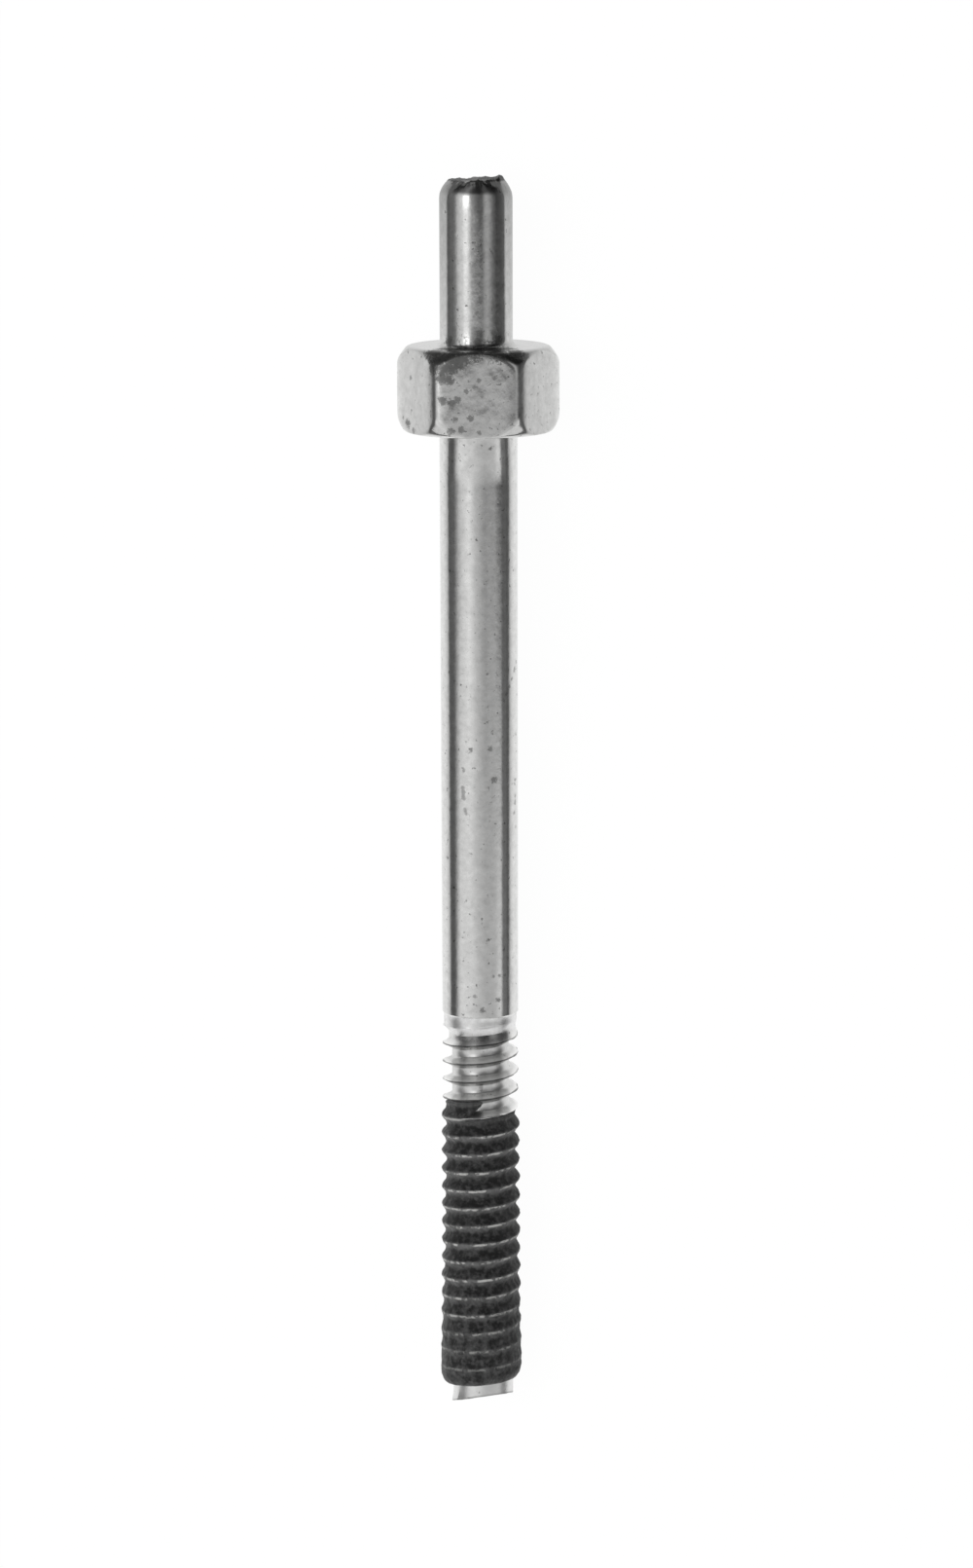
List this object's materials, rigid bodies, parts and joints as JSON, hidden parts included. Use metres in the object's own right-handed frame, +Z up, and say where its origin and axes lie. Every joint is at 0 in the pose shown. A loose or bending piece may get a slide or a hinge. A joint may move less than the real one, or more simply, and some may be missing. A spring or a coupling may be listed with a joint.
{
  "type": "post stud",
  "caption": "Turned steel post stud with a plain pin, a hexagon, a plain shank and a threaded end whose threads carry dried thread-locking compound.",
  "frame": {"origin": "middle of the stud's bounding box, on the surface that it lies on", "axes": "+Z up from the surface; +Y along the stud towards the pin's end, with the stud's own axis leaning up by about 1.8 degrees towards the pin; +X to the right when the pin points away"},
  "size_m": [0.0068, 0.0526, 0.0062],
  "materials": {
    "plated_steel": "satin plated steel with fine pits and dull stains",
    "dried_thread_locker": "matte, mottled, dried compound"
  },
  "bodies": {
    "root": {"stud": "plated_steel", "thread_lock_coating": "dried_thread_locker"}
  },
  "joints": []
}
